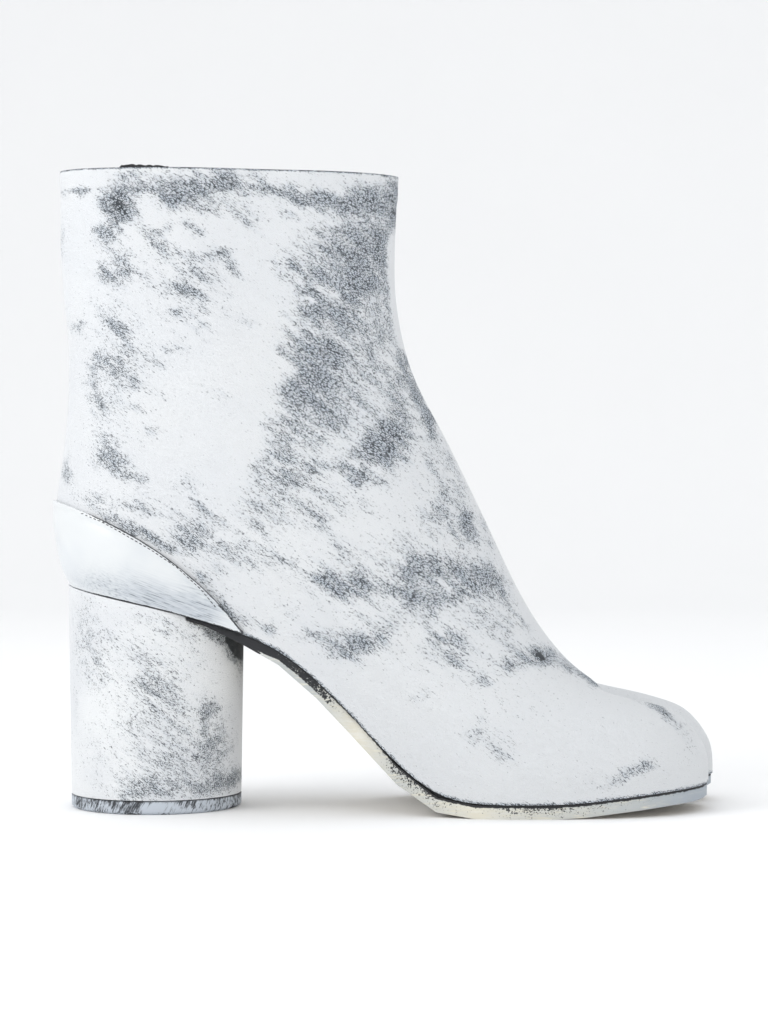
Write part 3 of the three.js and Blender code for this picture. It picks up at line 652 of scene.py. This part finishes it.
upperLook = {
    "subdivisions": 2,
    "collarBevel": 0.45,
    "featherBevel": 0.25,
    "smoothUnder": 60,             # degrees between faces that shade as one
    # Height of the collar above the heel's axis, and how much it falls over each mm of x.
    "collar": (228.4, 1.3 / 86.2),
    "collarFrom": 224,             # only the collar's rim lies above this height
    # Height of the hem line, as x and z.
    "hemLine": [(-34, 220.6), (-10, 221.2), (30, 221.8), (56, 218.4), (88, 215.8)],
    "hemRidge": 0.25,
    "hemWear": 0.55,
    "bareMost": 1.5,               # wear in the middle of a bare place
    "collarLine": 0.7,             # how far the dark line comes down from the collar
    "featherReach": 1.3,           # how far specks come up from the sole
    # The lower rim lies below these heights, as x and z.
    "featherTop": [(-36, 88), (6, 80), (30, 73), (48, 62), (68, 46), (82, 31), (92, 22), (204, 20)],
    "featherWear": 0.8,
    "seamDepth": 0.55,
    "seamWidth": 0.9,
    "frontSeamFrom": (26, 40),     # heights over which the front seam starts
    "backSeamFrom": (108, 114),
    # Beside the front seam: how far unworn paint reaches, and the heights where it ends.
    "freshStrip": (4.5, 8.0), "freshBelow": (172, 158), "freshAbove": (203, 209),
    # Height and sideways place of the front seam.
    "seamLine": [(30, 7.1), (44, 6.7), (56, 4.9), (74, 3.0), (103, 1.3), (132, 0.5), (159, 0.0)],
    # Creases as x, z, length, width, turn, depth (negative is a trough), on both sides.
    "creases": [
        (94, 112, 30, 5, -38, -0.55), (100, 105, 30, 6, -38, 0.5), (86, 118, 26, 6, -30, 0.45),
        (78, 130, 26, 5, -28, -0.4), (108, 92, 24, 5, -50, -0.4), (112, 74, 34, 6, -62, -0.5),
        (120, 66, 32, 7, -62, 0.5), (126, 58, 30, 6, -62, -0.4), (10, 112, 40, 9, -14, 0.5),
        (12, 122, 44, 8, -10, -0.5), (60, 140, 18, 40, 0, 0.4), (-12, 150, 10, 60, 0, 0.35),
        (30, 176, 16, 70, 12, -0.35), (66, 86, 30, 8, 10, 0.35),
    ],
}


def collarFaces(centres, normals):
    return (normals[:, 2] > 0.9) & (centres[:, 2] > upperLook["collarFrom"])


def featherFaces(centres, normals):
    # The narrow rim that looks down on the sole, told from the rest by its height.
    top = np.interp(centres[:, 0], *zip(*upperLook["featherTop"]))
    return (normals[:, 2] < -0.6) & (centres[:, 2] < top)


def makeUpperSkin(look):
    skin = copyOfNode("upper", "upperSkin")
    # The rims are bevelled, so that the subdivision keeps them.
    for rimFaces, width in ((collarFaces, look["collarBevel"]), (featherFaces, look["featherBevel"])):
        editFaces(skin, rimFaces(*faceTable(skin)))
        bpy.ops.mesh.region_to_loop()
        bpy.ops.mesh.bevel(offset=width * mm, segments=2, profile=0.5, affect="EDGES",
                           clamp_overlap=True)
        leaveEdit()
    # The outside is what a flood from the outermost face reaches without crossing a rim.
    centres, normals = faceTable(skin)
    rims = collarFaces(centres, normals) | featherFaces(centres, normals)
    editFaces(skin, rims)
    bpy.ops.mesh.hide()
    leaveEdit()
    start = np.zeros(len(centres), dtype=bool)
    start[np.argmin(centres[:, 1])] = True
    editFaces(skin, start)
    bpy.ops.mesh.select_linked()
    leaveEdit()
    outside = readAll(skin.data.polygons, "select", bool)
    giveMaterials(skin, (upperPaint, lining, darkNap), np.where(rims, 2, np.where(outside, 0, 1)))
    pickOnly(skin)
    bpy.ops.object.mode_set(mode="EDIT")
    bpy.ops.mesh.reveal(select=False)
    leaveEdit()
    subdivide(skin, look["subdivisions"], boundary_smooth="PRESERVE_CORNERS")
    print("upper skin:", len(skin.data.polygons), "faces")
    sculptUpper(skin, look)
    seat(skin, look["smoothUnder"], "painted_leather", "upper")


def sculptUpper(skin, look):
    points, normals = pointsOf(skin), normalsOf(skin)
    x, y, z = points.T
    outside = facePoints(skin, readAll(skin.data.polygons, "material_index", np.int32) == 0)
    seamY = np.interp(z, *zip(*look["seamLine"]))
    # Front seam, from the split up to the collar, and the back seam above the counter.
    front = ease(0.15, 0.5, normals[:, 0]) * ease(*look["frontSeamFrom"], z)
    back = ease(-0.15, -0.5, normals[:, 0]) * ease(*look["backSeamFrom"], z)
    push = -look["seamDepth"] * (front * ridge(y - seamY, look["seamWidth"])
                                 + 0.5 * back * ridge(y, look["seamWidth"]))
    # Hem round the collar.
    hemZ = np.interp(x, *zip(*look["hemLine"]))
    push += look["hemRidge"] * (ease(-1.2, 1.0, z - hemZ) - 1.1 * ridge(z - hemZ, 1.5))
    # Creases fade out towards the seams, where the leather is held.
    for cx, cz, length, width, turn, depth in look["creases"]:
        along, across = turnedBy(x - cx, z - cz, turn)
        reach = np.clip(1 - (2 * along / length) ** 2, 0, 1)
        push += depth * reach * ridge(2 * across, width) * abs(normals[:, 1])
    points[outside] += (normals * push[:, None])[outside]
    # A strip of unworn paint runs beside the front seam, above the ankle.
    worn = (ease(*look["freshStrip"], seamY - y) + ease(*look["freshBelow"], z)
            + ease(*look["freshAbove"], z) + ease(70, 60, x))
    outer = wornAmount(points, outerWear) * np.clip(worn, 0, 1)
    outer = np.maximum(outer, wornAmount(points, outerBare, look["bareMost"]))
    wear = np.where(y < seamY, outer, wornAmount(points, innerWear))
    movePoints(skin, points)
    # The paint is gone from both rims: from the collar in a line, from the lower one in specks.
    height, fall = look["collar"]
    collar = ease(look["collarLine"], 0.1, height - fall * x - z)
    above = distanceTo(points[facePoints(skin, featherFaces(*faceTable(skin)))], points)
    feather = look["featherWear"] * ease(look["featherReach"], 0.0, above)
    hem = look["hemWear"] * ridge(z - hemZ, 1.0) * (0.55 + 0.45 * np.sin(x / 5.5 + 1))
    wear = 1 - (1 - wear) * (1 - collar) * (1 - feather) * (1 - hem)
    storeOnPoints(skin, "wear", wear)


makeUpperSkin(upperLook)
print("upper done")


# Heel counter

counterWear = {"brush": [
    (-12, 79, 22, 6, -16, 70), (2, 75.5, 26, 8, -16, 85), (12, 72, 14, 6, -18, 80), (15, 74, 7, 6, 85),
    (19, 71.5, 9, 5, -25, 75), (-22, 80.5, 10, 3, -10, 30), (16, 80, 8, 6, -45, 35),
    (0, 82, 26, 7, -14, 25), (23, 72.5, 9, 6, -50, 60),
]}

counterShape = {
    "bevel": 0.3, "bevelOver": 50, "smoothUnder": 50,
    "bare": 0.55,                  # how far the dark line comes in from the edge
    "stitchIn": 1.9,               # stitch line, in from the top edge
    "stitchLength": 1.25,
    "stitchPitch": 1.7,
    "threadRadius": 0.17,
    "ridge": 0.22,                 # how far the folded edge stands up outside the stitches
    "ridgeFrom": (70, 76),         # heights over which it starts
    # The top edge seen from the side, as x and z.
    "topLine": [(-24, 107.5), (-16, 104.4), (-9.7, 101.2), (1.6, 94.8), (11.2, 88.4), (19.9, 80.4),
                (25.1, 74)],
}


def makeCounter(look):
    counter = copyOfNode("heel_counter", "counterCover")
    bevelEdges(counter, look)
    subdivide(counter, 2)
    points = pointsOf(counter)
    # A face belongs to the rim if it looks neither away from the foot nor towards it.
    centres, normals = faceTable(counter)
    away = np.stack([np.minimum(centres[:, 0], 0), centres[:, 1], 0 * centres[:, 0]], axis=1)
    away /= np.linalg.norm(away, axis=1)[:, None]
    rim = facePoints(counter, abs((normals * away).sum(axis=1)) < 0.35)
    reach = distanceTo(points[rim], points)
    normals = normalsOf(counter)
    outside = (normals * (points * [1, 1, 0])).sum(axis=1) > 0
    seam = look["stitchIn"]
    lift = ease(seam, seam - 0.9, reach) * ease(0.2, 0.8, reach) - 0.8 * ridge(reach - seam, 0.5)
    lift *= outside * ease(*look["ridgeFrom"], points[:, 2])
    movePoints(counter, points + normals * (look["ridge"] * lift)[:, None])
    storeOnPoints(counter, "wear", wornAmount(points, counterWear, 1.0))
    # The dark line is fainter at the back.
    faint = 0.45 + 0.55 * ease(-26, -12, points[:, 0])
    storeOnPoints(counter, "edge", faint * (1 - np.clip(reach / (2 * look["bare"]), 0, 1)))
    giveMaterials(counter, [counterFinish])
    seat(counter, look["smoothUnder"], "counter_leather", "heel_counter")
    return counter


def inwardOffset(line, distance):
    # A line seen from the side, moved down and back by some distance.
    places = np.array(line, dtype=float)
    along = np.gradient(places, axis=0)
    along /= np.linalg.norm(along, axis=1)[:, None]
    return places + distance * np.stack([along[:, 1], -along[:, 0]], axis=1)


def evenly(line, pitch):
    # Points along a line at an even pitch, each with a short step ahead.
    steps = np.linalg.norm(np.diff(line, axis=0), axis=1)
    run = np.concatenate([[0], np.cumsum(steps)])
    at = np.arange(pitch / 2, run[-1], pitch)
    ahead = np.minimum(at + 0.3, run[-1])
    here = np.stack([np.interp(at, run, line[:, i]) for i in range(2)], axis=1)
    there = np.stack([np.interp(ahead, run, line[:, i]) for i in range(2)], axis=1)
    return here, there - here


stitchLook = {
    "flatness": 0.8,               # height over width
    "lift": 0.35,                  # of the thread's radius, the rest is sunk in
    "variety": (0.9, 1.1),         # shortest and longest, as shares of the length
}


def sewRow(name, carrier, line, look, finish, slotName, sides):
    # One row of stitches lying on a piece: one low ellipsoid, copied and half sunk into it.
    tree = BVHTree.FromObject(carrier, bpy.context.evaluated_depsgraph_get())
    here, heading = evenly(line, look["stitchPitch"])
    radius = look["threadRadius"]
    bpy.ops.mesh.primitive_uv_sphere_add(segments=8, ring_count=6, radius=1, location=(0, 0, 0))
    first = bpy.context.object
    first.scale = (look["stitchLength"] * 0.5 * mm, radius * mm, radius * stitchLook["flatness"] * mm)
    bpy.ops.object.transform_apply(location=False, rotation=False, scale=True)
    made = []
    for side in sides:
        for (x, z), (dx, dz) in zip(here, heading):
            start = Vector((x, 90 * side, z)) * mm       # well outside the boot
            hit, normal = tree.ray_cast(start, Vector((0, -side, 0)))[:2]
            if hit is None:
                continue
            flat = Vector((dx, 0, dz))
            run = (flat - normal * flat.dot(normal)).normalized()
            stitch = first.copy()
            stitch.data = first.data.copy()
            bpy.context.scene.collection.objects.link(stitch)
            stitch.location = hit + normal * radius * stitchLook["lift"] * mm
            stitch.rotation_euler = Matrix((run, normal.cross(run), normal)).transposed().to_euler()
            stitch.scale = (random.uniform(*stitchLook["variety"]), 1, 1)
            made.append(stitch)
    bpy.data.objects.remove(first)
    bpy.ops.object.select_all(action="DESELECT")
    for stitch in made:
        stitch.select_set(True)
    bpy.context.view_layer.objects.active = made[0]
    bpy.ops.object.transform_apply(location=True, rotation=True, scale=True)
    bpy.ops.object.join()
    row = bpy.context.object
    row.name = name
    giveMaterials(row, [finish])
    seat(row, 180, slotName)       # smooth all over
    print(name + ":", len(made), "stitches")


counterCover = makeCounter(counterShape)
seamLine = inwardOffset(counterShape["topLine"], counterShape["stitchIn"])
sewRow("counterStitches", counterCover, seamLine, counterShape, darkThread, "counter_leather", (-1, 1))
print("counter done")


# Heel block and its top piece

heelWear = {"seat": [
    (26, 62.5, 9, 5, -28, 90), (30.5, 58, 3, 6, 60), (20, 65, 10, 3, -22, 60), (30.5, 50, 2.4, 9, 25),
    (0, 69, 16, 4, -8, 24), (6, 65, 12, 5, -10, 26), (14, 60, 9, 5, -30, 20),
], "sides": [
    (10, 54, 20, 10, -20, 18), (-4, 35, 14, 10, 18), (5, 22, 24, 26, 10), (-21, 62, 9, 22, 10, 25),
    (-16, 50, 12, 12, 24), (-1, 45.5, 10, 6, 42), (7, 43.5, 9, 5, 40), (20, 36.5, 5, 6, 60),
    (7, 36, 8, 8, 22), (19, 27, 9, 9, 24), (24, 24.5, 6, 9, 30), (20, 19, 7, 14, 24),
    (24, 14, 6, 10, 20), (27, 10.5, 9, 4, 10, 80), (19, 8.5, 13, 4, 36), (8, 9, 16, 7, 32),
    (-3, 9, 12, 8, 30), (-6, 6, 8, 5, 26), (5, 28, 40, 34, 13), (-20, 20, 10, 20, 10),
    (-28, 45, 3, 30, 12), (7, 19, 22, 16, 22), (-24.5, 62, 5, 15, 12), (-2, 55, 26, 7, -44, 26),
]}

# The corner under the arch is drawn with no paint at all: partly worn paint, partly painted shade where
# the arch shades it.
heelCornerBareAndShade = {"corner": [
    (28.5, 60.5, 7, 5, -30, 100), (30.5, 57, 4, 9, 80), (22, 65.4, 9, 1.6, -24, 50),
]}

heelShape = {
    "cuts": (8, 80, 2),            # mm: the lowest level cut, where they end, and their pitch
    "bevel": 0.5, "bevelOver": 40, "smoothUnder": 35,
    "innerWear": 0.75,             # wear of the inner side, as a share of the outer side's
    "bareMost": 1.9,               # wear in the middle of a bare place, here the worn and painted-shade corner
    # The two ends: points nearer the axis than this many mm, and how worn they are.
    "ends": (29, 0.8),
}


def makeHeelBlock(look):
    block = copyOfNode("heel_block", "heelCover")
    # Level cuts give the tall sides enough points to carry the wear.
    for height in range(*look["cuts"]):
        editFaces(block, np.ones(len(block.data.polygons), dtype=bool))
        bpy.ops.mesh.bisect(plane_co=(0, 0, height * mm), plane_no=(0, 0, 1))
        leaveEdit()
    bevelEdges(block, look)
    points = pointsOf(block)
    wear = wornAmount(points, heelWear)
    wear[points[:, 1] > 0] *= look["innerWear"]
    # The corner under the arch: worn paint and painted shade.
    wear = np.maximum(wear, wornAmount(points, heelCornerBareAndShade, look["bareMost"]))
    radius, endWear = look["ends"]
    wear[np.hypot(points[:, 0], points[:, 1]) < radius] = endWear
    storeOnPoints(block, "wear", wear)
    giveMaterials(block, [heelPaint])
    seat(block, look["smoothUnder"], "painted_leather", "heel_block")


topPieceShape = {
    "bevel": 0.3, "bevelOver": 30, "smoothUnder": 35,
    # How much of the paint is brushed off, as x and amount.
    "bare": [(-31, -0.2), (-24, 0.1), (-18, 0.4), (-14, 0), (-11, 0.3), (-8, 0.7), (-3, 0.5),
             (0, 0), (18, 0), (21, 0.4), (31, 0.6)],
}


def makeTopPiece(look):
    piece = copyOfNode("heel_top_piece", "topPiece")
    bevelEdges(piece, look)
    low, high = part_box("heel_top_piece")
    points = pointsOf(piece)
    storeOnPoints(piece, "down", 1 - (points[:, 2] * mm - low.z) / (high.z - low.z))
    storeOnPoints(piece, "bare", np.interp(points[:, 0], *zip(*look["bare"])))
    giveMaterials(piece, [rubberFinish])
    seat(piece, look["smoothUnder"], "heel_rubber", "heel_top_piece")


makeHeelBlock(heelShape)
makeTopPiece(topPieceShape)
print("heel done")


# Sole and insole

# Along the sole's edge: x, bare black band, specks, dark top line (painted shade where the upper meets
# the sole), grey (1 is bluish).
soleBands = [
    (13, 2, 0, 1, 0), (33, 2, 0, 1, 0), (37, 1, 0, 1, 0),
    (42, 0.66, 0.1, 1, 0.5), (60, 0.5, 0.15, 1, 0.5), (65.5, 0.6, 0, 1, 0.2),
    (67, 0, 0, 0.2, 0), (72.5, 0, 0, 0.3, 0), (75, 0, 0.25, 1, 0),
    (80, 0, 0.6, 0.8, 0.4), (94, 0, 0.6, 0.8, 0.4), (103, 0, 0.4, 0.9, 0.2),
    (110, 0, 0.16, 1, 0), (115, 0, 0.35, 1.2, 0), (118, 0, 0.54, 1.2, 0.2),
    (138, 0, 0.57, 1.2, 0.3), (147, 0, 0.46, 1, 0.35), (160, 0, 0.4, 1, 0.5),
    (172, 0, 0.32, 1, 0.6), (182, 0, 0.22, 1, 0.8), (192, 0, 0.15, 1, 0.9),
]

soleShape = {
    "bevel": 0.45, "bevelOver": 50, "smoothUnder": 35,
    # Upward share of the normal above which a face is part of the top or the underside.
    "flat": 0.45, "flatBevelled": 0.55,
}


def makeOutsole(look):
    sole = copyOfNode("outsole", "soleLeather")
    normals = faceTable(sole)[1]
    points = pointsOf(sole)
    # The top and bottom lines of each side give each point's place between them.
    lines = []
    for side in (-1, 1):
        for chosen in (normals[:, 2] > look["flat"], normals[:, 2] < -look["flat"]):
            edge = points[facePoints(sole, chosen)]
            edge = edge[edge[:, 1] * side > 0]
            edge = edge[np.argsort(edge[:, 0])]
            lines.append((edge[:, 0], edge[:, 2]))
    bevelEdges(sole, look)
    x, y, z = pointsOf(sole).T
    heights = [np.interp(x, *line) for line in lines]
    top, bottom = np.where(y < 0, heights[0], heights[2]), np.where(y < 0, heights[1], heights[3])
    storeOnPoints(sole, "down", np.clip((top - z) / np.maximum(top - bottom, 0.1), 0, 1))
    places, *bands = zip(*soleBands)
    for name, values in zip(("black", "speckle", "line", "grey"), bands):
        storeOnPoints(sole, name, np.interp(x, places, values))
    upward = faceTable(sole)[1][:, 2]
    slots = np.where(upward > look["flatBevelled"], 2, np.where(upward < -look["flatBevelled"], 1, 0))
    giveMaterials(sole, (edgeFinish, undersideFinish, darkNap), slots)
    seat(sole, look["smoothUnder"], "sole_leather", "outsole")


insoleShape = {
    "bevel": 0.4, "bevelOver": 50, "smoothUnder": 35,
    "flat": 0.4,                   # below this upward share of the normal a face is a cut side
}


def makeInsole(look):
    insole = copyOfNode("insole", "insoleLeather")
    bevelEdges(insole, look)
    sides = abs(faceTable(insole)[1][:, 2]) < look["flat"]
    giveMaterials(insole, (insoleFinish, darkNap), sides)
    seat(insole, look["smoothUnder"], "insole_leather", "insole")


makeOutsole(soleShape)
makeInsole(insoleShape)
print("sole done")


# Closure on the inner side

flapShape = {
    "bevel": 0.25, "bevelOver": 50, "smoothUnder": 50,
    "wear": 0.8,                   # as a share of the wear that the upper has there
    # The row of stitches, as x and z.
    "stitchLine": [(-15.4, 226), (-15.4, 135.5), (-13.5, 134.2), (6, 134.2)],
    "stitchPitch": 3.0,
    "stitchLength": 2.2,
    "threadRadius": 0.19,
}


def makeFlap(look):
    flap = copyOfNode("closure_flap", "closureFlap")
    bevelEdges(flap, look)
    subdivide(flap, 2)
    storeOnPoints(flap, "wear", wornAmount(pointsOf(flap), innerWear) * look["wear"])
    giveMaterials(flap, [upperPaint])
    seat(flap, look["smoothUnder"], "painted_leather", "closure_flap")
    return flap


underlapShape = {
    "bevel": 0.25, "bevelOver": 50, "smoothUnder": 50,
    "cornerDrop": 2.6,             # how far the two top corners are rounded off
    "topFrom": (229.5, 233),       # heights over which the cut starts
}


def makeUnderlap(look):
    lap = copyOfNode("closure_underlap", "closureUnderlap")
    bevelEdges(lap, look)
    subdivide(lap, 2)
    # Its top edge is cut by hand: rounded off at both corners and a little uneven.
    points = pointsOf(lap)
    x, z = points[:, 0], points[:, 2]
    middle, half = (x.min() + x.max()) / 2, (x.max() - x.min()) / 2
    drop = look["cornerDrop"] * abs((x - middle) / half) ** 5
    drop += 0.25 * np.sin(x * 1.9) + 0.2 * np.sin(x * 4.7 + 1)
    points[:, 2] -= np.maximum(drop, 0) * ease(*look["topFrom"], z)
    movePoints(lap, points)
    giveMaterials(lap, [darkNap])
    seat(lap, look["smoothUnder"], "dark_leather", "closure_underlap")


closureFlap = makeFlap(flapShape)
seamLine = np.array(flapShape["stitchLine"], dtype=float)
sewRow("flapStitches", closureFlap, seamLine, flapShape, paleThread, "painted_leather", (1,))
makeUnderlap(underlapShape)
print("closure done")


# Floor, light and camera

studioLook = {
    "floorColour": (0.955, 0.955, 0.955),
    "floorRadius": 3.2,       # metres
    "flatShare": 0.55,        # how much of that radius is flat
    "rimHeight": 2.4,         # metres, how far the floor turns up at its far edge
    "sides": 96, "rings": 10,
    "worldColour": (0.97, 0.983, 1.0),
    "worldStrength": 0.95,
    # name, place (m), size (m), power (W), aim (m)
    "lights": [
        ("keyLight", (-0.95, -0.6, 0.72), 0.7, 6.2, (-0.01, 0, 0.14)),
        ("fillLight", (0.85, -0.9, 0.10), 0.5, 3.8, (0.02, 0, 0.04)),
        ("topLight", (0.1, 0.4, 1.9), 1.4, 4, (0.08, 0, 0.0)),
    ],
}

cameraLook = {
    "place": (0.082, -0.880, 0.1085),    # metres
    "lens": 85.4, "sensor": 36,          # millimetres
    "shift": (0.0007, -0.0068),
    "nearest": 0.02,
}


def makeFloor(look):
    outer, steps = look["floorRadius"], look["rings"]
    inner = outer * look["flatShare"]
    bpy.ops.mesh.primitive_circle_add(vertices=look["sides"], radius=inner, fill_type="NGON",
                                      location=(0.08, 0, 0))
    floor = bpy.context.object
    floor.name = "studioFloor"
    # The far edge is drawn up in rings, so that no horizon shows.
    bpy.ops.object.mode_set(mode="EDIT")
    bpy.ops.mesh.select_all(action="SELECT")
    bpy.ops.mesh.region_to_loop()
    radius = inner
    for step in range(1, steps + 1):
        turn = math.pi / 2 * step / steps
        target = inner + (outer - inner) * math.sin(turn)
        rise = look["rimHeight"] * (math.cos(math.pi / 2 * (step - 1) / steps) - math.cos(turn))
        bpy.ops.mesh.extrude_edges_move(TRANSFORM_OT_translate={"value": (0, 0, rise)})
        bpy.ops.transform.resize(value=(target / radius, target / radius, 1))
        radius = target
    leaveEdit()
    bpy.ops.object.transform_apply(location=True, rotation=True, scale=True)
    bpy.ops.object.shade_smooth()
    f = Finish("studioPaper")
    tint = f.noise(f.turned((300, 300, 300)), 1)
    shade = [c * 0.985 for c in look["floorColour"]]
    paper = f.surface({"Base Color": f.mix(tint, look["floorColour"], shade), "Roughness": 0.9,
                       "Specular IOR Level": 0.1})
    giveMaterials(floor, [paper])


def makeLights(look):
    world = bpy.data.worlds.new("studioWorld")
    bpy.context.scene.world = world
    world.use_nodes = True
    background = world.node_tree.nodes["Background"]
    background.inputs["Color"].default_value = (*look["worldColour"], 1)
    background.inputs["Strength"].default_value = look["worldStrength"]
    for name, place, size, power, aim in look["lights"]:
        bpy.ops.object.light_add(type="AREA", location=place)
        light = bpy.context.object
        light.name = name
        light.data.size = size
        light.data.energy = power
        light.rotation_euler = (Vector(aim) - Vector(place)).to_track_quat("-Z", "Y").to_euler()


def makeCamera(look):
    bpy.ops.object.camera_add(location=look["place"], rotation=(math.radians(90), 0, 0))
    camera = bpy.context.object
    camera.data.lens = look["lens"]
    camera.data.sensor_width = look["sensor"]
    camera.data.shift_x, camera.data.shift_y = look["shift"]
    camera.data.clip_start = look["nearest"]
    bpy.context.scene.camera = camera
    bpy.context.scene.view_settings.view_transform = "Standard"


makeFloor(studioLook)
makeLights(studioLook)
makeCamera(cameraLook)
print("studio done")
